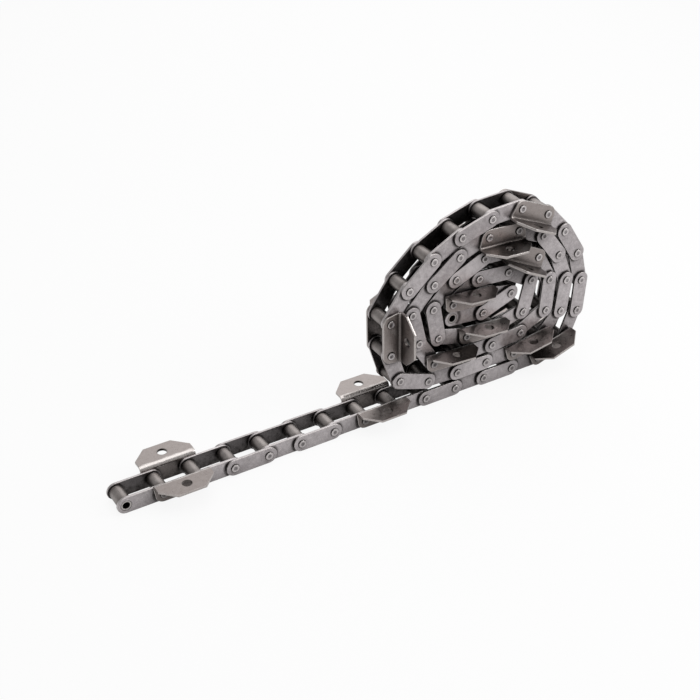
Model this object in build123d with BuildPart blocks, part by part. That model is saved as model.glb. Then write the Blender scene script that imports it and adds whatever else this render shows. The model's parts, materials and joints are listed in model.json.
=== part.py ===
"""Roller conveyor chain with bent carrying tabs, its free end laid out flat and the rest rolled up.

The frame: origin in the middle of the free end's open bush, +X along the flat run, +Y across the
chain, +Z up, the side that the tabs are bent from. Every link is modelled in its own plane: x from
its first pin to its second, y up, z across the chain from the mid-plane.
"""

from build123d import *
import cmath
import math
import os

# Links
pitch = 42.0
inner_width = 24.5  # between the inner plates
plate_height = 20.2
inner_thickness = 2.8
outer_thickness = 2.8
plate_gap = 0.25  # between an inner plate and the outer plate beside it
edge_break = 0.4  # chamfer round the rim of a plate's outward face

# Pins, bushes and rollers
pin_diameter = 8.0
pin_clearance = 0.05  # radial, pin in bush
bush_diameter = 12.4
roller_clearance = 0.05  # radial, roller on bush
roller_diameter = 16.4
roller_end_gap = 0.25  # at each end, roller to inner plate
roller_chamfer = 0.6
head_diameter = 9.4
head_height = 1.5
head_chamfer = 0.6
dish_diameter = 4.6
dish_depth = 0.7

# Carrying tabs, bent outwards from the outer plates of every sixth link
links_to_first_tab = 1
links_per_tab = 6
tab_rise = 15.0  # pin line to the tab's upper face
tab_length = 65.0
tab_edge_length = 32.5
tab_shoulder = 29.5  # mid-plane to where the corners are cut off
tab_reach = 45.7  # mid-plane to the outer edge
tab_bend_radius = 3.0  # inside the bend
tab_hole_diameter = 11.0
tab_hole_offset = 31.5  # mid-plane to the hole

# How the chain lies: a flat run, then the bend at each further pin in degrees, anticlockwise.
# A roll that has no room for its plates at these bends is wound looser, all bends by the same share.
flat_links = 13
roll_bends = {
    "outer_turn": (18, 52, 18, 18, 18, 10, 23, 26, 14, 11, 14, 14, 36, 17, 52, 16, 3, -2),
    "middle_turn": (12, 40, 35, 28, 16, 27, 21, 23, 17, 11, 57, 18, 53, 6, 3, 24),
    "core": (59, 32, 34, 23, 27, 21, 57, 63, 11, 20, 62, 72, 26, 38, 142, -5, -151, -25),
}
roll_gap = 0.3  # least gap between the turns
settle_limit = 0.1  # share of roll_gap that may lack when the turns have settled
settle_rounds = 60
loosening_step = 0.01
loosening_limit = 0.3

inner_face = inner_width / 2
inner_back = inner_face + inner_thickness
outer_face = inner_back + plate_gap
outer_back = outer_face + outer_thickness
bush_bore = pin_diameter + 2 * pin_clearance
roller_bore = bush_diameter + 2 * roller_clearance


def has_tabs(link):
    return (link - links_to_first_tab) % links_per_tab == 0


def is_inner(link):
    return link % 2 == 0


# ---- Where the links lie, worked out on complex numbers: real part X, imaginary part Z ----


def outline(link, start, end):
    """The link's side view as lines with a radius: its plate, and the upright that its tabs stand on."""
    lines = [(start, end, plate_height / 2)]
    if has_tabs(link):
        along = (end - start) / abs(end - start)
        middle = (start + end) / 2
        foot_1, foot_2 = middle - along * tab_length / 2, middle + along * tab_length / 2
        top_1, top_2 = foot_1 + 1j * along * tab_rise, foot_2 + 1j * along * tab_rise
        lines += [(foot_1, top_1, 0), (top_1, top_2, 0), (top_2, foot_2, 0)]
    return lines


def to_line(point, start, end):
    """The shortest way from a point to a line."""
    share = min(1, max(0, ((point - start) / (end - start)).real))
    return start + share * (end - start) - point


def push(outline_1, outline_2):
    """The move that takes outline 1 clear of outline 2 by roll_gap, or 0 where it is clear."""
    move = 0
    for a, b, radius_1 in outline_1:
        for c, d, radius_2 in outline_2:
            ways = (to_line(a, c, d), to_line(b, c, d), -to_line(c, a, b), -to_line(d, a, b))
            way = min(ways, key=abs)
            lacking = roll_gap + radius_1 + radius_2 - abs(way)
            if lacking > abs(move) and way:
                move = -way / abs(way) * lacking
    return move


def free_pins(link):
    """The link's pins that can move: those past the flat run."""
    return [pin for pin in (link, link + 1) if pin > flat_links]


def settle(pins):
    """Ease the turns apart to roll_gap, keeping the pitch, and return whether they have settled."""
    links = range(flat_links, len(pins) - 1)
    for _ in range(settle_rounds):
        longest = 0
        for link in links:
            for other in range(link % 2, link - 1, 2):
                if abs(pins[link] - pins[other]) > 3 * pitch:
                    continue
                link_outline = outline(link, pins[link], pins[link + 1])
                other_outline = outline(other, pins[other], pins[other + 1])
                move = push(link_outline, other_outline)
                longest = max(longest, abs(move))
                share = 0.5 if free_pins(other) else 1
                for pin in free_pins(link):
                    pins[pin] += move * share
                for pin in free_pins(other):
                    pins[pin] -= move * share
        for link in links:
            step = pins[link + 1] - pins[link]
            pins[link + 1] = pins[link] + step * pitch / abs(step)
        if longest < settle_limit * roll_gap:
            return True
    return False


def lay_chain():
    """Pin centres in order, with the roll at the tightest winding that settles."""
    flat_pins = [complex(pin * pitch, 0) for pin in range(flat_links + 1)]
    for looser in range(round(loosening_limit / loosening_step)):
        share = 1 - looser * loosening_step
        pins = list(flat_pins)
        heading = 0
        for bends in roll_bends.values():
            for bend in bends:
                heading += bend * share
                pins.append(pins[-1] + cmath.rect(pitch, math.radians(heading)))
        if settle(pins):
            return pins
    raise ValueError("the roll has no room for its turns")


pins = lay_chain()


def link_plane(link):
    start, along = pins[link], pins[link + 1] - pins[link]
    return Plane((start.real, 0, start.imag), x_dir=(along.real, 0, along.imag), z_dir=(0, -1, 0))


def pin_plane(pin):
    return Plane((pins[pin].real, 0, pins[pin].imag), z_dir=(0, -1, 0))


# ---- The pieces, each made once ----


def side_plates(face, thickness, hole_diameter):
    """Both plain side plates of a link, ovals with two holes, their outward rims chamfered."""
    with BuildPart() as plates:
        with BuildSketch(Plane.XY.offset(face)):
            with Locations((pitch / 2, 0)):
                SlotCenterToCenter(pitch, plate_height)
            with Locations((0, 0), (pitch, 0)):
                Circle(hole_diameter / 2, mode=Mode.SUBTRACT)
        extrude(amount=thickness)
        outward = plates.faces().sort_by(Axis.Z)[-1]
        chamfer(outward.outer_wire().edges(), edge_break)
        mirror(about=Plane.XY)
    return plates.part


def tab_plates():
    """Both outer plates of a tab link: a bent strip, cut to the side view and to the plan view."""
    middle = pitch / 2
    half_height = plate_height / 2
    with BuildPart() as plates:
        with BuildSketch(Plane.YZ.offset(middle - tab_length / 2)):
            with BuildLine():
                FilletPolyline(
                    (-half_height, outer_face),
                    (tab_rise, outer_face),
                    (tab_rise, tab_reach),
                    radius=tab_bend_radius + outer_thickness,
                )
                offset(amount=outer_thickness, side=Side.LEFT)
            make_face()
        extrude(amount=tab_length)
        with BuildSketch(Plane.XY):
            with BuildLine():
                Line((0, -half_height), (pitch, -half_height))
                RadiusArc((pitch, -half_height), (pitch + half_height, 0), -half_height)
                Polyline(
                    (pitch + half_height, 0),
                    (middle + tab_length / 2, half_height),
                    (middle + tab_length / 2, tab_rise),
                    (middle - tab_length / 2, tab_rise),
                    (middle - tab_length / 2, half_height),
                    (-half_height, 0),
                )
                RadiusArc((-half_height, 0), (0, -half_height), -half_height)
            make_face()
            with Locations((0, 0), (pitch, 0)):
                Circle(pin_diameter / 2, mode=Mode.SUBTRACT)
        extrude(amount=tab_reach, mode=Mode.INTERSECT)
        with BuildSketch(Plane.XZ):
            with BuildLine():
                Polyline(
                    (middle - tab_length / 2, 0),
                    (middle - tab_length / 2, tab_shoulder),
                    (middle - tab_edge_length / 2, tab_reach),
                    (middle + tab_edge_length / 2, tab_reach),
                    (middle + tab_length / 2, tab_shoulder),
                    (middle + tab_length / 2, 0),
                    close=True,
                )
            make_face()
            with Locations((middle, tab_hole_offset)):
                Circle(tab_hole_diameter / 2, mode=Mode.SUBTRACT)
        extrude(amount=tab_rise, both=True, mode=Mode.INTERSECT)
        mirror(about=Plane.XY)
    return plates.part


def bush():
    """A plain tube, pressed into both inner plates and flush with their outward faces."""
    with BuildPart() as tube:
        Cylinder(bush_diameter / 2, 2 * inner_back)
        Hole(bush_bore / 2)
    return tube.part


def roller():
    """A loose ring that turns on the bush between the inner plates."""
    with BuildPart() as ring:
        Cylinder(roller_diameter / 2, inner_width - 2 * roller_end_gap)
        chamfer(ring.edges().filter_by(GeomType.CIRCLE), roller_chamfer)
        Hole(roller_bore / 2)
    return ring.part


def riveted_pin():
    """A pin with both ends spread into dished rivet heads on the outer plates."""
    top = outer_back + head_height
    head = head_diameter / 2
    with BuildPart() as rivet:
        with BuildSketch(Plane.XZ):
            with BuildLine():
                Polyline(
                    (0, 0),
                    (pin_diameter / 2, 0),
                    (pin_diameter / 2, outer_back),
                    (head, outer_back),
                    (head, top - head_chamfer),
                    (head - head_chamfer, top),
                    (dish_diameter / 2, top),
                    (dish_diameter / 2 - dish_depth, top - dish_depth),
                    (0, top - dish_depth),
                    close=True,
                )
            make_face()
        revolve(axis=Axis.Z)
        mirror(about=Plane.XY)
    return rivet.part


inner_pair = side_plates(inner_face, inner_thickness, bush_diameter)
outer_pair = side_plates(outer_face, outer_thickness, pin_diameter)
tab_pair = tab_plates()
bush_piece = bush()
roller_piece = roller()
pin_piece = riveted_pin()


# ---- The nodes: one group of like pieces each, at the places that the planes give ----


def write_node(label, piece, planes):
    if not planes:
        return
    with BuildPart() as group:
        with Locations(*(plane.location for plane in planes)):
            add(piece, clean=False)
    group.part.label = label
    export_step(group.part, f"parts/{label}.step")


def write_links(name, links):
    """Plates, bushes and pins of a stretch of chain, as one node for each kind."""
    inner = [link for link in links if is_inner(link)]
    tabbed = [link for link in links if has_tabs(link)]
    plain = [link for link in links if not is_inner(link) and not has_tabs(link)]
    write_node(f"{name}_inner_plates", inner_pair, [link_plane(link) for link in inner])
    write_node(f"{name}_bushes", bush_piece, [pin_plane(pin) for link in inner for pin in (link, link + 1)])
    write_node(f"{name}_outer_plates", outer_pair, [link_plane(link) for link in plain])
    write_node(f"{name}_tab_plates", tab_pair, [link_plane(link) for link in tabbed])
    riveted = [pin for link in links if not is_inner(link) for pin in (link, link + 1)]
    write_node(f"{name}_pins", pin_piece, [pin_plane(pin) for pin in riveted])


os.makedirs("parts", exist_ok=True)
for link in range(flat_links):
    write_links(f"link_{link:02d}", [link])
for pin in range(flat_links + 1):
    write_node(f"roller_{pin:02d}", roller_piece, [pin_plane(pin)])

first = flat_links
for turn, bends in roll_bends.items():
    links = range(first, first + len(bends))
    write_links(turn, links)
    bushed = [pin for link in links if is_inner(link) for pin in (link, link + 1)]
    write_node(f"{turn}_rollers", roller_piece, [pin_plane(pin) for pin in bushed])
    first += len(bends)

print("links", len(pins) - 1, "inner end at", round(pins[-1].real, 1), round(pins[-1].imag, 1))
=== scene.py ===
"""Dresses the conveyor chain: blanked and bent plates, turned and riveted pieces, and a stage.

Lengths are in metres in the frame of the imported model: X along the flat run, Y across the chain
(along every pin), Z up, origin in the middle of the open bush at the free end.
"""

import bmesh
import bpy
import json
import math
import numpy as np
from mathutils import Matrix, Vector


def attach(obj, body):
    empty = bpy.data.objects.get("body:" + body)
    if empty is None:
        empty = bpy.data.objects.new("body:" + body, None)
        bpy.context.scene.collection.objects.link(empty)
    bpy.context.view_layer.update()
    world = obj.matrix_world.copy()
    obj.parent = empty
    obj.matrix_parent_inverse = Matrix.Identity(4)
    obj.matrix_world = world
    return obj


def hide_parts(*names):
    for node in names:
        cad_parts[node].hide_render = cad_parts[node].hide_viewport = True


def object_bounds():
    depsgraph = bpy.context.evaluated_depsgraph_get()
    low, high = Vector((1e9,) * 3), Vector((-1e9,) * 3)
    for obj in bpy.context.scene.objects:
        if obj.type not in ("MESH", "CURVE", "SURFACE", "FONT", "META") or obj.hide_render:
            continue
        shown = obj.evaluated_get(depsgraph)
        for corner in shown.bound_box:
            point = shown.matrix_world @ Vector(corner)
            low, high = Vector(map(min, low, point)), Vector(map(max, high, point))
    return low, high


bl_info = {
    "name": "Conveyor chain dressing",
    "version": (1, 0, 0),
    "blender": (4, 5, 0),
    "location": "View3D > Sidebar > Chain",
    "description": "Makes the visible pieces and finishes of a conveyor chain with bent tabs",
    "category": "Object",
}

MM = 0.001

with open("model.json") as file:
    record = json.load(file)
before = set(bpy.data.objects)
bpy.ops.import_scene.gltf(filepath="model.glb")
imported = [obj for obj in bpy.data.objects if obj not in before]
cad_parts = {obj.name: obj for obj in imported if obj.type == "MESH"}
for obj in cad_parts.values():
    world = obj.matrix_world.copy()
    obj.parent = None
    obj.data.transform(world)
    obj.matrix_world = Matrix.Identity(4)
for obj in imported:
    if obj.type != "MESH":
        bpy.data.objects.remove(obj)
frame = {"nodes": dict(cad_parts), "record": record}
NODES = frame["nodes"]
BODIES = frame["record"]["behaviour"]["bodies"]
BODY_OF = {node: body for body, nodes in BODIES.items() for node in nodes}
cad_low, cad_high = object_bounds()


def nodes_ending(ending):
    """The CAD nodes of one kind, which is the end of their names."""
    return sorted(name for name in NODES if name.endswith(ending))


def roller_nodes():
    """The grouped rollers of the roll, and the single ones of the flat run."""
    return nodes_ending("_rollers") + sorted(name for name in NODES if name.startswith("roller_"))


# ---- Reading the frame ---------------------------------------------------------------------------


def solids(node):
    """The points of each separate solid of a CAD node, as a list of arrays.

    Points at one place count as one. Every triangle hands its lowest label to its corners until no
    label changes, so that each closed solid ends with a label of its own.
    """
    mesh = NODES[node].data
    points = np.zeros(len(mesh.vertices) * 3)
    mesh.vertices.foreach_get("co", points)
    corners = np.zeros(len(mesh.loops), np.int64)
    mesh.loops.foreach_get("vertex_index", corners)
    microns = np.round(points.reshape(-1, 3) / MM * 1000)
    places, same = np.unique(microns, axis=0, return_inverse=True)
    triangles = same.reshape(-1)[corners].reshape(-1, 3)
    labels = np.arange(len(places))
    while True:
        spread = labels.copy()
        for corner in range(3):
            np.minimum.at(spread, triangles[:, corner], labels[triangles].min(axis=1))
        spread = spread[spread]
        if np.array_equal(spread, labels):
            break
        labels = spread
    return [places[labels == label] / 1000 * MM for label in np.unique(labels)]


def centres(node):
    """The middle of each round solid of a CAD node, halfway along its axis."""
    return np.array([(points.min(axis=0) + points.max(axis=0)) / 2 for points in solids(node)])


def distances(points, axes):
    """Distances of each point, in a row of its own, from each of the axes along Y."""
    return np.hypot(points[:, None, 0] - axes[:, 0], points[:, None, 2] - axes[:, 2])


def radii(points, centre):
    """Distances of points from an axis along Y through a centre."""
    return np.hypot(points[:, 0] - centre[0], points[:, 2] - centre[2])


# The sizes of one piece of each kind. A face is told by points within NEAR of it, and a hole by
# points within ON_RING of its radius.
NEAR = 0.01 * MM
ON_RING = 0.03 * MM
free_bush = max(solids("link_00_bushes"), key=lambda points: -points[:, 0].min())
bush_radius = radii(free_bush, (0, 0, 0)).max()
bush_bore = radii(free_bush, (0, 0, 0)).min()
bush_half = free_bush[:, 1].max()
free_roller = solids("roller_00")[0]
roller_radius = radii(free_roller, (0, 0, 0)).max()
roller_bore = radii(free_roller, (0, 0, 0)).min()
roller_half = free_roller[:, 1].max()
pitch = centres("link_00_bushes")[:, 0].max()
first_pin = min(solids("link_01_pins"), key=lambda points: points[:, 0].min())
head_radius = radii(first_pin, (pitch, 0, 0)).max()
head_top = first_pin[:, 1].max()
inner_plate = solids("link_00_inner_plates")[-1]
plate_half = inner_plate[:, 2].max()
outer_plate = max(solids("link_03_outer_plates"), key=lambda points: points[:, 1].max())
outer_face, outer_back = outer_plate[:, 1].min(), outer_plate[:, 1].max()
shank = np.abs(first_pin[:, 1]) < outer_back + NEAR
pin_radius = radii(first_pin, (pitch, 0, 0))[shank].min()
tab_plate = max(solids("link_01_tab_plates"), key=lambda points: points[:, 1].max())
tab_rise, tab_reach = tab_plate[:, 2].max(), tab_plate[:, 1].max()
tab_half = np.ptp(tab_plate[:, 0]) / 2
tab_middle = tab_plate[:, 0].min() + tab_half
offset = np.abs(tab_plate[:, 0] - tab_middle)
inner_face = np.abs(inner_plate[:, 1]).min()
fold_radius = tab_rise - tab_plate[tab_plate[:, 1] < outer_face + NEAR, 2].max()
tab_shoulder = tab_plate[offset > tab_half - NEAR, 1].max()
tab_edge_half = offset[tab_plate[:, 1] > tab_reach - NEAR].max()
on_top = (tab_plate[:, 2] > tab_rise - NEAR) & (offset < 0.4 * tab_half)
on_top &= tab_plate[:, 1] < tab_reach - MM
hole_edge = tab_plate[on_top, 1]
tab_hole_out = (hole_edge.min() + hole_edge.max()) / 2
tab_hole_radius = np.ptp(hole_edge) / 2


def chain_pins():
    """The middles of all the bushes: one at every pin, and one at each open end."""
    return np.concatenate([centres(node) for node in nodes_ending("_bushes")])


def plate_places(node, hole_radius, pins):
    """Where each plate of a CAD node lies: centre, direction along the link, and side of the chain.

    A plate belongs to the two pins that have the most of its points at the hole's radius. The
    direction along the link is the one that has the tab, if there is one, on its left.
    """
    places = []
    for points in solids(node):
        rings = (np.abs(distances(points, pins) - hole_radius) < ON_RING).sum(axis=0)
        start, end = pins[np.argsort(rings)[-2:]]
        along = (end - start) / np.linalg.norm(end - start)
        side = math.copysign(1, points[:, 1].mean())
        proud = points[np.abs(points[:, 1]) > outer_back + MM] - (start + end) / 2
        if len(proud) and (along[0] * proud[:, 2] - along[2] * proud[:, 0]).mean() < 0:
            along = -along
        places.append(((start + end) / 2, along, side))
    return places


def open_ends():
    """The middles of the bushes that hold no pin: one at each end of the chain."""
    pins = np.concatenate([centres(node) for node in nodes_ending("_pins")])
    bushes = chain_pins()
    return bushes[distances(bushes, pins).min(axis=1) > pitch / 2]


# ---- Surfaces ------------------------------------------------------------------------------------
#
# A surface is three arrays: its points as (along the link, out from the chain, up to the tab),
# the rubbing with painted highlight and the painted shade of each point, both from 0 to 1, and
# its faces.


def sheet(points, wear, grime, closed=True):
    """A grid of points as a surface: quads join neighbouring rows and columns.

    On a closed sheet the last column joins the first, as round a rim or an axis.
    """
    rows, columns = points.shape[:2]
    finish = np.stack(np.broadcast_arrays(wear, grime, np.zeros((rows, columns)))[:2], axis=-1)
    row, column = np.meshgrid(np.arange(rows - 1), np.arange(columns - (not closed)), indexing="ij")
    after = (column + 1) % columns
    near, far = row * columns, (row + 1) * columns
    faces = np.stack((near + column, near + after, far + after, far + column), axis=-1)
    return points.reshape(-1, 3), finish.reshape(-1, 2), faces.reshape(-1, 4)


def join(surfaces):
    """Several surfaces as one, each face counting on past the points of the surfaces before it."""
    points, finish, faces = zip(*surfaces)
    steps = np.cumsum([0] + [len(part) for part in points[:-1]])
    faces = [part + step for part, step in zip(faces, steps)]
    return np.concatenate(points), np.concatenate(finish), np.concatenate(faces)


def arc(centre, radius, start, end, count):
    """Points on a circle, from the start angle to the end angle in degrees."""
    angles = np.radians(np.linspace(start, end, count))
    return np.c_[centre[0] + radius * np.cos(angles), centre[1] + radius * np.sin(angles)]


def turned(profile, segments):
    """A profile of (radius, height, rubbing and painted highlight, painted shade) rows, turned once
    round the pin axis.

    At turn angle a, a profile point of radius r lies at r cos a along the link and r sin a up.
    """
    turn = np.linspace(0, 2 * math.pi, segments, endpoint=False)
    radius, height, wear, grime = np.array(profile).T[:, :, None]
    ring = np.broadcast_arrays(radius * np.cos(turn), height, radius * np.sin(turn))
    return sheet(np.stack(ring, axis=-1), wear, grime)


def doubled(profile):
    """A profile and its mirror image below height 0."""
    mirrored = [(radius, -height, wear, grime) for radius, height, wear, grime in profile[::-1]]
    return profile + mirrored


def riveted_pin():
    """A shank with two spun heads: a side in painted shade, a quarter circle and a crest with a
    painted highlight, and a dimple in painted shade.

    The dimple's rows lie at shares of the head's radius, ever less deep towards the crest.
    """
    shoulder, dimple = 0.6 * MM, 0.55 * MM
    profile = [
        (0, head_top - dimple, 0, 0.45),
        (0.3 * head_radius, head_top - 0.5 * MM, 0, 0.5),
        (0.46 * head_radius, head_top - 0.22 * MM, 0, 0.4),
        (0.56 * head_radius, head_top - 0.03 * MM, 0.3, 0),
    ]
    # The crest and shoulder carry a painted highlight; the dimple and the side below are painted
    # shade.
    edge = arc((head_radius - shoulder, head_top - shoulder), shoulder, 90, 0, 5)
    profile += [(*point, wear, 0) for point, wear in zip(edge, (0.3, 0.7, 1, 0.8))]
    profile += [
        (head_radius, head_top - shoulder, 0, 0.9),
        (head_radius - 0.1 * MM, outer_back, 0, 1),
        (pin_radius, outer_back, 0, 1),
        (pin_radius, outer_face, 0, 1),
    ]
    return turned(doubled(profile), segments=28)


def roller_ring():
    """A roller: a straight tread, ends rounded by a quarter circle, and a bevelled bore."""
    ease, bevel = 0.9 * MM, 0.3 * MM
    edge = arc((roller_radius - ease, roller_half - ease), ease, 90, 0, 4)
    # The rounded ends, and a little the middle of the tread, carry a painted highlight; the bore is
    # painted shade.
    profile = [
        (roller_bore, roller_half - bevel, 0, 1),
        (roller_bore + bevel, roller_half, 0.1, 0.8),
        *((radius, height, 0.7, 0.1) for radius, height in edge),
        (roller_radius, 0.82 * roller_half, 0, 0.1),
        (roller_radius, 0.4 * roller_half, 0.2, 0),
    ]
    profile = doubled(profile)
    return turned(profile + profile[:1], segments=30)


def bush_tube():
    """A bush: a tube with a ground end, rounded into the bore and bevelled at its outer edge."""
    bevel = 0.3 * MM
    # The bore and the outer bevel are painted shade; the end face and the round into the bore carry
    # a painted highlight.
    profile = [
        (bush_bore, bush_half - 0.6 * MM, 0, 1),
        (bush_bore + 0.15 * MM, bush_half - 0.2 * MM, 0.6, 0.5),
        (bush_bore + 0.5 * MM, bush_half, 1, 0),
        (bush_radius - bevel, bush_half, 0.6, 0.2),
        (bush_radius, bush_half - bevel, 0, 0.9),
    ]
    profile = doubled(profile)
    return turned(profile + profile[:1], segments=26)


def mitres(loop):
    """The way out at each point of a closed line: the sum of both normals, stretched to a mitre."""
    along = np.roll(loop, -1, axis=0) - loop
    normal = np.c_[along[:, 1], -along[:, 0]] / np.linalg.norm(along, axis=1)[:, None]
    before = np.roll(normal, 1, axis=0)
    return (normal + before) / (1 + (normal * before).sum(axis=1))[:, None]


def spaced(start, end, count):
    """Points in equal steps from the start up to, but without, the end."""
    return np.linspace(start, end, count, endpoint=False)


def holed_face(boundary, centre, rings, base):
    """A flat face between a round hole and a closed boundary, with the painted shade of its points.

    Each ring is (distance from the hole's centre, painted shade): its points lie that far out on
    the lines to the boundary's points, or just short of the boundary where that comes first. A last
    row lies a border inside the boundary. base is the painted shade there, one value or one for
    each point.
    """
    border, spare, step = 0.5 * MM, 0.7, 0.1
    away = boundary - centre
    reach = np.linalg.norm(away, axis=1)
    wanted, grime = np.array(rings).T[:, :, None]
    free = reach - (spare + step * np.arange(len(rings), 0, -1)[:, None]) * MM
    flat = centre + away * (np.minimum(wanted, free) / reach)[:, :, None]
    flat = np.concatenate((flat, [boundary - border * mitres(boundary), boundary]))
    grime = np.where(wanted < free, grime, base)
    return flat, np.concatenate((grime, np.broadcast_to(base, (2, len(boundary)))))


def rim_rows(thickness, rim, burr, rubbed):
    """The rim of a blanked plate as rows of inset, depth and rubbing with painted highlight, from
    inward to outward face.

    Both corners are quarter circles: a small one at the burr, a larger one where the punch went in.
    The wall has the given rubbing, and on the larger corner it grows by the product of the
    two sides: partly rubbing, partly a painted highlight.
    """
    corner_wear = 0.7
    rows = [(burr - x, burr + y, rubbed) for x, y in arc((0, 0), burr, -90, 0, 3)]
    for x, y in arc((0, 0), rim, 0, 90, 5):
        rows.append((rim - x, thickness - rim + y, rubbed + corner_wear * x * y / rim**2))
    return np.array(rows)


def plate(outline, faces, thickness, place, burr, rim, rubbed):
    """A plate from its outline: both faces, the walls of their holes, and the rim carried round.

    faces gives, for an inset outline and a depth, the patches of that face as (flat points, painted
    shade, rubbing with painted highlight, whether closed round a hole); place puts flat points at a
    depth into the link's space; the last argument is the rubbing of the cut wall, partly a painted
    highlight.
    """
    # The walls of the holes are darkened: painted shade.
    hole_grime = 0.7
    parts = []
    inward = faces(outline - burr * mitres(outline), 0.0)
    outward = faces(outline - rim * mitres(outline), thickness)
    for patch, patch_out in zip(inward, outward):
        for (flat, grime, wear, closed), depth in ((patch, 0.0), (patch_out, thickness)):
            parts.append(sheet(place(flat, depth), wear, grime, closed))
        if closed:
            wall = np.stack((patch[0][0], patch_out[0][0]))
            parts.append(sheet(place(wall, np.array([[0.0], [thickness]])), 0.0, hole_grime))
    inset, depth, wear = rim_rows(thickness, rim, burr, rubbed).T[:, :, None]
    edge = outline - inset[:, :, None] * mitres(outline)
    parts.append(sheet(place(edge, depth), wear, 0.0))
    return join(parts)


def oval_plate(thickness, face, inward, outward, burr, rim):
    """A plain side plate: two half circles joined by straight lines, with a hole in each.

    Each face is two patches that meet on the plate's middle line, the second the first turned half
    a turn. inward and outward are each (rings round a hole, painted shade of the rest).
    """
    half, high = pitch / 2, plate_half
    below = spaced((0, -high), (half, -high), 4)
    above = np.linspace((half, high), (0, high), 5)[1:]
    nose = np.concatenate((below, arc((half, 0), high, -90, 90, 15), above))
    last = len(nose) - 1

    def faces(loop, depth):
        right = np.concatenate((loop[: last + 1], np.linspace(loop[last], loop[0], 7)[1:-1]))
        rings, base = outward if depth else inward
        patches = (holed_face(side * right, (side * half, 0), rings, base) for side in (1, -1))
        return [(flat, grime, 0.0, True) for flat, grime in patches]

    def place(flat, depth):
        depth = np.broadcast_to(depth, flat.shape[:-1])
        return np.stack((flat[..., 0], face + depth, flat[..., 1]), axis=-1)

    outline = np.concatenate((nose[:-1], -nose[:-1]))
    return plate(outline, faces, thickness, place, burr, rim, rubbed=0.25)


def bent_plate(inward, outward, burr, rim):
    """A tab plate: an outer plate that goes on up into a folded tab with cut corners.

    The flat pattern has the fold's straight length between its upright part and its tab. In the
    fold a point moves on a circle round the fold's middle, whose radius is the fold's less the
    point's depth. Past a quarter turn the tab runs straight out.
    """
    half, high, thickness = pitch / 2, plate_half, outer_back - outer_face
    quarter = math.pi / 2
    run = quarter * (fold_radius - thickness / 2)
    start, end = tab_rise - fold_radius, tab_rise - fold_radius + run
    tab_foot = outer_face + fold_radius
    shoulder, edge = end + tab_shoulder - tab_foot, end + tab_reach - tab_foot
    hole_up = end + tab_hole_out - tab_foot
    upright = (
        spaced((0, -high), (half, -high), 4),
        arc((half, 0), high, -90, 0, 8)[:-1],
        spaced((half + high, 0), (tab_half, start), 3),
    )
    fold = (spaced((tab_half, start), (tab_half, end), 6),)
    tongue = (
        spaced((tab_half, end), (tab_half, shoulder), 3),
        spaced((tab_half, shoulder), (tab_edge_half, edge), 5),
        np.linspace((tab_edge_half, edge), (0, edge), 4),
    )
    right = np.concatenate(upright + fold + tongue)
    low = len(np.concatenate(upright))
    top, last = low + len(fold[0]), len(right) - 1
    outline = np.concatenate((right, (right * (-1, 1))[::-1][1:-1]))

    def near_fold(up):
        """1 at the fold, falling evenly to 0 over 7 mm on both sides of it."""
        return np.clip(1 - np.maximum(start - up, up - end) / (7 * MM), 0, 1)

    def faces(loop, depth):
        """Two patches round the pins, one round the tab's hole, and the strip of the fold between.

        The outward face has painted shade inside the fold; the inward face has a painted highlight
        there.
        """
        other = 2 * last - top
        sides = loop[low : top + 1, None], loop[other : 2 * last - low + 1][::-1, None]
        across = np.linspace(0, 1, 13)[:, None]
        strip = sides[0] * (1 - across) + sides[1] * across
        middle = np.linspace(strip[0, 6], loop[0], 6)[1:-1]
        corner = np.concatenate((loop[:low], strip[0, :7], middle))
        tab = np.concatenate((loop[top : other + 1], strip[-1][::-1][1:-1]))
        rings, base = outward if depth else inward
        # Painted shade inside the fold on the outward face, a painted highlight on the fold's
        # outside.
        hollow, bright = (0.45, 0.0) if depth else (0.0, 0.7)
        patches = [holed_face(corner, (half, 0), rings, base + hollow * near_fold(corner[:, 1]))]
        corner = (corner * (-1, 1))[::-1]
        patches += [holed_face(corner, (-half, 0), rings, base + hollow * near_fold(corner[:, 1]))]
        # Painted shade in a ring round the tab's hole and faintly over the whole tab.
        rings, base = [(tab_hole_radius, 0.5), (tab_hole_radius + 0.6 * MM, 0.1)], 0.05
        rings.append((tab_hole_radius + 2 * MM, base))
        patches += [holed_face(tab, (0, hole_up), rings, base + hollow * near_fold(tab[:, 1]))]
        closed = [(flat, grime, 0.0, True) for flat, grime in patches]
        return closed + [(strip, hollow, bright, False)]

    def place(flat, depth):
        along, up = flat[..., 0], flat[..., 1]
        turn = np.clip((up - start) / run, 0, 1) * quarter
        radius = fold_radius - depth
        out = tab_foot - radius * np.cos(turn) + np.maximum(up - end, 0)
        return np.stack((along, out, np.minimum(up, start) + radius * np.sin(turn)), axis=-1)

    return plate(outline, faces, thickness, place, burr, rim, rubbed=0.4)


def laid(surface, places, tones):
    """Copies of a surface at each of its places, with their tones, as points, finish and faces.

    Each place is a middle, a direction along the link and a side of the chain: x and z turn with
    the link about that middle, and y is mirrored on the near side.
    """
    points, finish, faces = surface
    centre, along, side = (np.array(column)[:, None] for column in zip(*places))
    u, out, up = points.T
    x = centre[..., 0] + along[..., 0] * u - along[..., 2] * up
    z = centre[..., 2] + along[..., 2] * u + along[..., 0] * up
    spread = np.stack((x, np.broadcast_to(side * out, x.shape), z), axis=-1).reshape(-1, 3)
    finish = np.c_[np.tile(finish, (len(places), 1)), np.repeat(tones, len(points))]
    steps = np.arange(len(places))[:, None, None] * len(points)
    return spread, finish, (faces[None] + steps).reshape(-1, 4)


SHARP_FROM = math.radians(40)
SAME_POINT = 0.002 * MM


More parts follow.
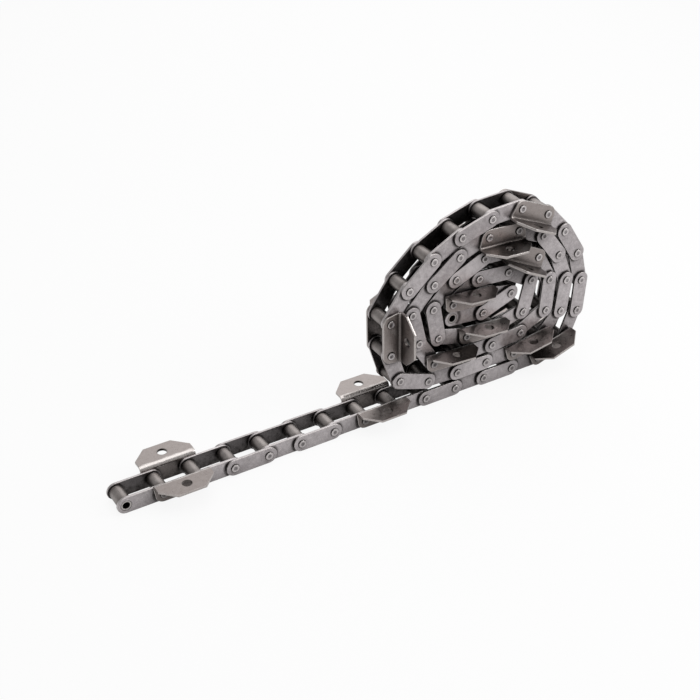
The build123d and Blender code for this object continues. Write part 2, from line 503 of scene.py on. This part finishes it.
def make_piece(node, points, finish, faces, material):
    """A smooth, closed mesh that stands for a CAD node; its finish holds rubbing with painted
    highlight, painted shade and tone.
    """
    mesh = bpy.data.meshes.new(node + "_formed")
    mesh.from_pydata(points.tolist(), [], faces.tolist())
    marks = mesh.attributes.new("finish", "FLOAT_VECTOR", "POINT")
    marks.data.foreach_set("vector", finish.reshape(-1))
    shell = bmesh.new()
    shell.from_mesh(mesh)
    bmesh.ops.remove_doubles(shell, verts=shell.verts, dist=SAME_POINT)
    bmesh.ops.recalc_face_normals(shell, faces=shell.faces)
    shell.to_mesh(mesh)
    shell.free()
    mesh.materials.append(material)
    mesh.shade_smooth()
    mesh.set_sharp_from_angle(angle=SHARP_FROM)
    piece = bpy.data.objects.new(node + "_formed", mesh)
    bpy.context.scene.collection.objects.link(piece)
    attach(piece, BODY_OF[node])
    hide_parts(node)


def tones_of(node, count):
    """A tone from 0 to 1 for each of a node's like pieces, always the same for one node."""
    return np.random.default_rng(sum(map(ord, node))).uniform(0.0, 1.0, count)


def make_round(nodes, surface, material):
    """Round pieces, upright on the pin axis, in place of each of the nodes."""
    for node in nodes:
        places = [(centre, (1, 0, 0), 1) for centre in centres(node)]
        make_piece(node, *laid(surface, places, tones_of(node, len(places))), material)


def make_plates(nodes, surface, hole, material, near=1.0):
    """Plates in place of each of the nodes; near scales the tones of the near side's plates, a
    painted shade that makes them darker.

    A plate at an open end has no neighbour over it, so its outward face has no ring of painted
    shadow there.
    """
    pins, ends = chain_pins(), open_ends()
    for node in nodes:
        places = plate_places(node, hole, pins)
        sides = np.array([side for _, _, side in places])
        # The near side's plates lean darker by the factor near: a painted shade.
        tones = tones_of(node, len(places)) * np.where(sides < 0, near, 1)
        points, finish, faces = laid(surface, places, tones)
        gaps = distances(points, ends).min(axis=1)
        ring = (gaps > bush_radius + MM) & (gaps < plate_half + 5 * MM)
        ring &= np.abs(points[:, 1]) > bush_half - 0.1 * MM
        finish[ring, 1] = 0
        make_piece(node, points, finish, faces, material)


# ---- Materials -----------------------------------------------------------------------------------


def from_hex(code):
    """An sRGB hex colour as linear red, green, blue and alpha."""
    values = (int(code[i : i + 2], 16) / 255 for i in (1, 3, 5))
    linear = (v / 12.92 if v <= 0.04045 else ((v + 0.055) / 1.055) ** 2.4 for v in values)
    return (*linear, 1.0)


def add_node(tree, kind, links=(), **settings):
    """Adds a shader node with its settings; a link is an input and a value or a node's output."""
    node = tree.nodes.new(kind)
    for name, value in settings.items():
        setattr(node, name, value)
    for name, value in links:
        if isinstance(value, bpy.types.NodeSocket):
            tree.links.new(value, node.inputs[name])
        else:
            node.inputs[name].default_value = value
    return node


def new_material(name):
    """A material with an empty node tree."""
    material = bpy.data.materials.new(name)
    material.use_nodes = True
    material.node_tree.nodes.clear()
    return material


def steel(
    name,
    shade,
    light,
    finish,
    roughness,
    grain_mm,
    brushed=(1, 1, 1),
    relief=0.25,
    even=1.0,
    shaded=(0.35, 0.8),
):
    """Oiled steel: cloudy between two greys, a fine grain, bright edges of rubbing and painted
    highlight, and dark painted shade.

    The clouds are 5 mm across, as on rolled strip, and each piece leans to one of its two greys.
    The grain is drawn about ten times as coarse as a real pickled or ground surface, which is too
    fine to show. brushed squeezes the grain across the lay of the tool, relief is how rough it
    looks, and even makes the clouds fainter. Painted shade also lies where little of the sky is
    seen: shaded is the share of sky up to which a point is fully dark, and that from which it
    has none.
    """
    cloud_size, sky_distance, grain_depth = 5 * MM, 45 * MM, 0.1 * MM
    skyward_lean, tone_weight, rubbed_gloss = 0.7, 0.35, -0.06
    material = new_material(name)
    tree = material.node_tree

    # The grain, and the clouds that it lies in.
    place = add_node(tree, "ShaderNodeTexCoord").outputs["Object"]
    stretched = add_node(
        tree, "ShaderNodeMapping", (("Vector", place), ("Scale", brushed))
    ).outputs["Vector"]
    clouds = add_node(
        tree, "ShaderNodeTexNoise", (("Vector", place), ("Scale", 1 / cloud_size), ("Detail", 4.0))
    ).outputs["Fac"]
    grain = add_node(
        tree,
        "ShaderNodeTexNoise",
        (("Vector", stretched), ("Scale", 1 / (grain_mm * MM)), ("Detail", 3.0)),
    ).outputs["Fac"]

    # Painted shade: the surface's own, from its finish, and more where little of the sky is seen.
    marks = add_node(tree, "ShaderNodeAttribute", attribute_name="finish").outputs["Vector"]
    wear, grime, tone = add_node(tree, "ShaderNodeSeparateXYZ", (("Vector", marks),)).outputs
    facing = add_node(tree, "ShaderNodeNewGeometry").outputs["Normal"]
    skyward = add_node(
        tree, "ShaderNodeVectorMath", ((0, facing), (1, (0, 0, skyward_lean))), operation="ADD"
    ).outputs[0]
    # Ambient occlusion: painted shade in corners, under the tabs and between the plates.
    sky_seen = add_node(
        tree,
        "ShaderNodeAmbientOcclusion",
        (("Distance", sky_distance), ("Normal", skyward)),
        samples=6,
    ).outputs["AO"]
    oily_below, clean_from = shaded
    corner = add_node(
        tree,
        "ShaderNodeMapRange",
        (
            ("Value", sky_seen),
            ("From Min", oily_below),
            ("From Max", clean_from),
            ("To Min", 1),
            ("To Max", 0),
        ),
    ).outputs["Result"]
    grime = add_node(
        tree, "ShaderNodeMath", ((0, grime), (1, corner)), operation="ADD", use_clamp=True
    ).outputs[0]

    # The grey, from the clouds, the grain and the piece's own tone.
    mottle = add_node(
        tree, "ShaderNodeMath", ((0, clouds), (1, grain)), operation="ADD"
    ).outputs[0]
    lean = add_node(
        tree,
        "ShaderNodeMath",
        ((0, tone), (1, tone_weight * even), (2, mottle)),
        operation="MULTIPLY_ADD",
    ).outputs[0]
    darkest, lightest = 1 - 0.125 * even, 1 + 0.475 * even
    blend = add_node(
        tree,
        "ShaderNodeMapRange",
        (("Value", lean), ("From Min", darkest), ("From Max", lightest)),
    ).outputs["Result"]
    grey = add_node(
        tree,
        "ShaderNodeMix",
        ((0, blend), (6, from_hex(shade)), (7, from_hex(light))),
        data_type="RGBA",
    ).outputs[2]

    # Bright steel on the grain's crests, partly rubbing and partly a painted highlight, and over
    # all the painted shade, thinner here and there.
    patchy = add_node(
        tree,
        "ShaderNodeMapRange",
        (("Value", grain), ("From Min", 0.3), ("From Max", 0.6), ("To Min", 0.6)),
    ).outputs["Result"]
    rubbed = add_node(
        tree, "ShaderNodeMath", ((0, wear), (1, patchy)), operation="MULTIPLY"
    ).outputs[0]
    bright = add_node(
        tree,
        "ShaderNodeMix",
        ((0, rubbed), (6, grey), (7, from_hex(finish.worn))),
        data_type="RGBA",
    ).outputs[2]
    film = add_node(
        tree,
        "ShaderNodeMapRange",
        (("Value", clouds), ("From Min", 0.3), ("From Max", 0.7), ("To Min", 0.8)),
    ).outputs["Result"]
    oiled = add_node(
        tree, "ShaderNodeMath", ((0, grime), (1, film)), operation="MULTIPLY"
    ).outputs[0]
    colour = add_node(
        tree,
        "ShaderNodeMix",
        ((0, oiled), (6, bright), (7, from_hex(finish.grime))),
        data_type="RGBA",
    ).outputs[2]

    # The gloss follows the mottling, and steel with rubbing and painted highlight is a little
    # glossier.
    cloudy = add_node(
        tree,
        "ShaderNodeMapRange",
        (
            ("Value", mottle),
            ("From Min", 0.7),
            ("From Max", 1.3),
            ("To Min", roughness - 0.05),
            ("To Max", roughness + 0.07),
        ),
    ).outputs["Result"]
    gloss = add_node(
        tree,
        "ShaderNodeMath",
        ((0, rubbed), (1, rubbed_gloss), (2, cloudy)),
        operation="MULTIPLY_ADD",
    ).outputs[0]
    bump = add_node(
        tree, "ShaderNodeBump", (("Height", grain), ("Strength", relief), ("Distance", grain_depth))
    ).outputs["Normal"]
    shader = add_node(
        tree,
        "ShaderNodeBsdfPrincipled",
        (("Base Color", colour), ("Metallic", 1.0), ("Roughness", gloss), ("Normal", bump)),
    )
    add_node(tree, "ShaderNodeOutputMaterial", (("Surface", shader.outputs["BSDF"]),))
    return material


# ---- Sizes and colours ---------------------------------------------------------------------------


class FinishSettings(bpy.types.PropertyGroup):
    """The greys of the steel, as sRGB hex colours."""

    strip_shade: bpy.props.StringProperty(
        name="Strip, dark", description="Darker grey of the blanked strip", default="#9a9495"
    )
    strip_light: bpy.props.StringProperty(
        name="Strip, light", description="Lighter grey of the blanked strip", default="#c6c0c1"
    )
    # The tab plates' greys are darker than the strip's, a painted shade of the tabs.
    tab_shade: bpy.props.StringProperty(
        name="Tabs, dark", description="Darker grey of the tab plates", default="#877f7c"
    )
    tab_light: bpy.props.StringProperty(
        name="Tabs, light", description="Lighter grey of the tab plates", default="#aca4a1"
    )
    ring_shade: bpy.props.StringProperty(
        name="Rollers, dark", description="Darker grey of rollers and bushes", default="#7a7371"
    )
    ring_light: bpy.props.StringProperty(
        name="Rollers, light", description="Lighter grey of rollers and bushes", default="#9a9390"
    )
    # Also the colour of the painted highlight on rims, folds and heads.
    worn: bpy.props.StringProperty(
        name="Rubbed steel", description="Bare steel on rims, folds and heads", default="#d3cecb"
    )
    # The colour of the painted shade in corners, round the pins and behind the plates.
    grime: bpy.props.StringProperty(
        name="Grime", description="Old oil in corners and round the pins", default="#1f1c1a"
    )


class PlateSettings(bpy.types.PropertyGroup):
    """The blanked side plates."""

    rim: bpy.props.FloatProperty(
        name="Rim",
        description="Rounding where the punch went in",
        default=0.55 * MM,
        unit="LENGTH",
    )
    burr: bpy.props.FloatProperty(
        name="Burr",
        description="Rounding on the side where the punch came out",
        default=0.2 * MM,
        unit="LENGTH",
    )


class StageSettings(bpy.types.PropertyGroup):
    """Camera and light."""

    lens: bpy.props.FloatProperty(
        name="Lens", description="Focal length in mm", default=64.8, unit="CAMERA"
    )
    distance: bpy.props.FloatProperty(
        name="Distance", description="From the camera to its aim", default=1.402, unit="LENGTH"
    )
    azimuth: bpy.props.FloatProperty(
        name="Azimuth",
        description="Angle round the chain",
        default=math.radians(-32.08),
        unit="ROTATION",
    )
    elevation: bpy.props.FloatProperty(
        name="Elevation",
        description="Angle above the floor",
        default=math.radians(33.05),
        unit="ROTATION",
    )
    roll: bpy.props.FloatProperty(
        name="Roll", description="Tilt of the picture", default=math.radians(0.51), unit="ROTATION"
    )
    room: bpy.props.FloatProperty(
        name="Room light",
        description="Strength of the light from all round",
        default=0.3,
        subtype="FACTOR",
    )
    key: bpy.props.FloatProperty(
        name="Key light", description="Power of the key softbox", default=10.0, unit="POWER"
    )


# ---- Operators -----------------------------------------------------------------------------------


class CHAIN_OT_plates(bpy.types.Operator):
    """Makes the blanked side plates and the bent tab plates."""

    bl_idname = "chain.plates"
    bl_label = "Side plates"

    def execute(self, context):
        finish, sizes = context.scene.chain_finish, context.scene.chain_plates
        burr, rim = sizes.burr, sizes.rim
        shade, light = finish.strip_shade, finish.strip_light
        # Rolled, pickled and blanked strip: satin and cloudy, so it mirrors the floor softly.
        strip = steel("Pickled_strip_steel", shade, light, finish, 0.37, 1.3)
        # The same strip folded in a press under oil: smoother and browner, with greys darker than
        # the strip's as a painted shade, more painted shade where it faces away from the light, and
        # a painted highlight along the outside of the fold.
        folded = steel(
            "Folded_strip_steel",
            finish.tab_shade,
            finish.tab_light,
            finish,
            0.31,
            1.5,
            relief=0.08,
            even=2.0,
            shaded=(0.23, 0.69),
        )
        # Painted shade in rings about each hole, as (distance from the hole's centre, painted
        # shade):
        # behind the rivet heads, round the rollers, a painted shadow under the edge of the
        # neighbouring plate, and behind a plate.
        around_pin = [
            (pin_radius, 1),
            (head_radius, 0.7),
            (head_radius + 0.5 * MM, 0.15),
            (head_radius + 1.3 * MM, 0),
        ]
        around_roller = [(bush_radius, 0.9), (roller_radius, 0.9), (roller_radius + 2.5 * MM, 0.35)]
        around_bush = [
            (bush_radius, 0.7),
            (bush_radius + 0.6 * MM, 0),
            (plate_half - 0.2 * MM, 0.95),
            (plate_half + 1.3 * MM, 0.6),
            (plate_half + 3.4 * MM, 0),
        ]
        behind = [
            (pin_radius, 1),
            (pin_radius + 1.5 * MM, 0.8),
            (plate_half, 0.9),
            (plate_half + 2 * MM, 0.4),
        ]
        thickness = bush_half - inner_face
        inner = oval_plate(
            thickness, inner_face, (around_roller, 0.45), (around_bush, 0), burr, rim
        )
        thickness = outer_back - outer_face
        outer = oval_plate(thickness, outer_face, (behind, 0.4), (around_pin, 0), burr, rim)
        tab = bent_plate((behind, 0.4), (around_pin, 0), burr, rim)
        make_plates(nodes_ending("_inner_plates"), inner, bush_radius, strip)
        make_plates(nodes_ending("_outer_plates"), outer, pin_radius, strip)
        # The near side's tab plates are darker: a painted shade.
        make_plates(nodes_ending("_tab_plates"), tab, pin_radius, folded, near=0.3)
        return {"FINISHED"}


class CHAIN_OT_rollers(bpy.types.Operator):
    """Makes the rollers and the bushes that they turn on."""

    bl_idname = "chain.rollers"
    bl_label = "Rollers and bushes"

    def execute(self, context):
        finish = context.scene.chain_finish
        shade, light = finish.ring_shade, finish.ring_light
        # Turned and hardened in oil: darker and duller, with fine marks round the tread.
        rings = steel("Turned_ring_steel", shade, light, finish, 0.42, 0.9, brushed=(1, 3, 1))
        # Ground: as dark, but glossier, so that its end faces catch the light; a painted highlight
        # brightens them too.
        tubes = steel("Ground_bush_steel", shade, light, finish, 0.36, 0.8)
        make_round(roller_nodes(), roller_ring(), rings)
        make_round(nodes_ending("_bushes"), bush_tube(), tubes)
        return {"FINISHED"}


class CHAIN_OT_pins(bpy.types.Operator):
    """Makes the joint pins with their spun, dimpled rivet heads."""

    bl_idname = "chain.pins"
    bl_label = "Riveted pins"

    def execute(self, context):
        finish = context.scene.chain_finish
        shade, light = finish.strip_shade, finish.strip_light
        # Heads spun over cold: burnished, so their crests are the glossiest spots, and the
        # brightest partly through a painted highlight.
        spun = steel("Spun_rivet_steel", shade, light, finish, 0.28, 1.2)
        make_round(nodes_ending("_pins"), riveted_pin(), spun)
        return {"FINISHED"}


# Name, place from the middle of the chain, side length, and power as a share of the key light's.
SOFTBOXES = (
    ("key_softbox", (1.3, -0.8, 0.9), 0.8, 1.0),
    ("back_softbox", (0.8, 1.25, 0.95), 1.7, 0.75),
    ("top_softbox", (0.1, -0.2, 1.8), 2.0, 1.85),
)


class CHAIN_OT_stage(bpy.types.Operator):
    """Sets up the floor, the lamps, the world and the camera."""

    bl_idname = "chain.stage"
    bl_label = "Stage"

    def execute(self, context):
        stage = context.scene.chain_stage
        make_floor()
        make_world(stage.room)
        middle = Vector((cad_low[i] + cad_high[i]) / 2 for i in range(3))
        for name, offset, size, share in SOFTBOXES:
            make_lamp(name, middle + Vector(offset), middle, size, share * stage.key)
        make_camera(stage)
        context.scene.view_settings.view_transform = "Standard"
        return {"FINISHED"}


WHITE = (1, 1, 1, 1)


def share_seen(tree, to_camera, to_mirrors):
    """How white a surface is to camera rays, and to mirror and glass rays, for a Mix Shader."""
    rays = add_node(tree, "ShaderNodeLightPath").outputs
    kinds = ((0, rays["Is Glossy Ray"]), (1, rays["Is Transmission Ray"]))
    mirrors = add_node(tree, "ShaderNodeMath", kinds, operation="MAXIMUM").outputs[0]
    faint = add_node(
        tree, "ShaderNodeMath", ((0, mirrors), (1, to_mirrors)), operation="MULTIPLY"
    ).outputs[0]
    seen = ((0, rays["Is Camera Ray"]), (1, to_camera), (2, faint))
    return add_node(tree, "ShaderNodeMath", seen, operation="MULTIPLY_ADD").outputs[0]


def make_floor():
    """A plain pale floor, nearly white to camera rays, that keeps the object's soft shadow."""
    reach, to_camera, to_mirrors = 12.0, 0.9, 0.5
    middle, floor_z = (cad_low[0] + cad_high[0]) / 2, cad_low[2]
    signs = ((-1, -1), (1, -1), (1, 1), (-1, 1))
    corners = [(middle + x * reach, y * reach, floor_z) for x, y in signs]
    mesh = bpy.data.meshes.new("floor")
    mesh.from_pydata(corners, [], [(0, 1, 2, 3)])
    floor = bpy.data.objects.new("floor", mesh)
    bpy.context.scene.collection.objects.link(floor)
    # Matt white paper: an even pale ground with soft shadows and no gloss.
    material = new_material("White_paper_sweep")
    tree = material.node_tree
    paper = add_node(tree, "ShaderNodeBsdfDiffuse", (("Color", from_hex("#f4f4f4")),)).outputs[0]
    glow = add_node(tree, "ShaderNodeEmission", (("Color", WHITE), ("Strength", 1.0))).outputs[0]
    seen = share_seen(tree, to_camera, to_mirrors)
    mixed = add_node(tree, "ShaderNodeMixShader", ((0, seen), (1, paper), (2, glow))).outputs[0]
    add_node(tree, "ShaderNodeOutputMaterial", (("Surface", mixed),))
    mesh.materials.append(material)


def make_world(strength):
    """A white studio that lights evenly: full white to camera rays, and partly to mirror rays."""
    to_camera, to_mirrors = 1.0, 0.25
    world = bpy.data.worlds.new("studio")
    bpy.context.scene.world = world
    world.use_nodes = True
    tree = world.node_tree
    tree.nodes.clear()
    dim, full = (
        add_node(tree, "ShaderNodeBackground", (("Color", WHITE), ("Strength", level))).outputs[0]
        for level in (strength, 1.0)
    )
    seen = share_seen(tree, to_camera, to_mirrors)
    mixed = add_node(tree, "ShaderNodeMixShader", ((0, seen), (1, dim), (2, full))).outputs[0]
    add_node(tree, "ShaderNodeOutputWorld", (("Surface", mixed),))


def make_lamp(name, place, aim, size, power):
    """A square softbox at a place, turned to its aim."""
    light = bpy.data.lights.new(name, "AREA")
    light.size, light.energy = size, power
    lamp = bpy.data.objects.new(name, light)
    lamp.location = place
    lamp.rotation_euler = (aim - place).to_track_quat("-Z", "Y").to_euler()
    bpy.context.scene.collection.objects.link(lamp)


def make_camera(stage):
    """The camera stands at a distance from its aim, turned round it and up, and rolled a little."""
    aim, sensor_width, far = Vector((0.283, 0, 0.09)), 36, 20
    flat, down = math.cos(stage.elevation), -math.sin(stage.elevation)
    look = Vector((-math.sin(stage.azimuth) * flat, math.cos(stage.azimuth) * flat, down))
    data = bpy.data.cameras.new("camera")
    data.sensor_width, data.lens, data.clip_end = sensor_width, stage.lens, far
    camera = bpy.data.objects.new("camera", data)
    turn = look.to_track_quat("-Z", "Y").to_matrix() @ Matrix.Rotation(stage.roll, 3, "Z")
    camera.matrix_world = Matrix.Translation(aim - look * stage.distance) @ turn.to_4x4()
    bpy.context.scene.collection.objects.link(camera)
    bpy.context.scene.camera = camera


class CHAIN_PT_panel(bpy.types.Panel):
    """Lists the chain's operators in the sidebar."""

    bl_idname = "CHAIN_PT_panel"
    bl_label = "Conveyor chain"
    bl_space_type = "VIEW_3D"
    bl_region_type = "UI"
    bl_category = "Chain"

    def draw(self, context):
        for operator in OPERATORS:
            self.layout.operator(operator.bl_idname)


SETTINGS = {
    "chain_finish": FinishSettings,
    "chain_plates": PlateSettings,
    "chain_stage": StageSettings,
}
OPERATORS = (CHAIN_OT_plates, CHAIN_OT_rollers, CHAIN_OT_pins, CHAIN_OT_stage)


def register():
    for kind in (*SETTINGS.values(), *OPERATORS, CHAIN_PT_panel):
        bpy.utils.register_class(kind)
    for name, kind in SETTINGS.items():
        setattr(bpy.types.Scene, name, bpy.props.PointerProperty(type=kind))


def unregister():
    for name in SETTINGS:
        delattr(bpy.types.Scene, name)
    for kind in (CHAIN_PT_panel, *OPERATORS, *SETTINGS.values()):
        bpy.utils.unregister_class(kind)


def main():
    register()
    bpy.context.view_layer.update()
    bpy.ops.chain.plates()
    bpy.ops.chain.rollers()
    bpy.ops.chain.pins()
    bpy.ops.chain.stage()


if __name__ == "__main__":
    main()
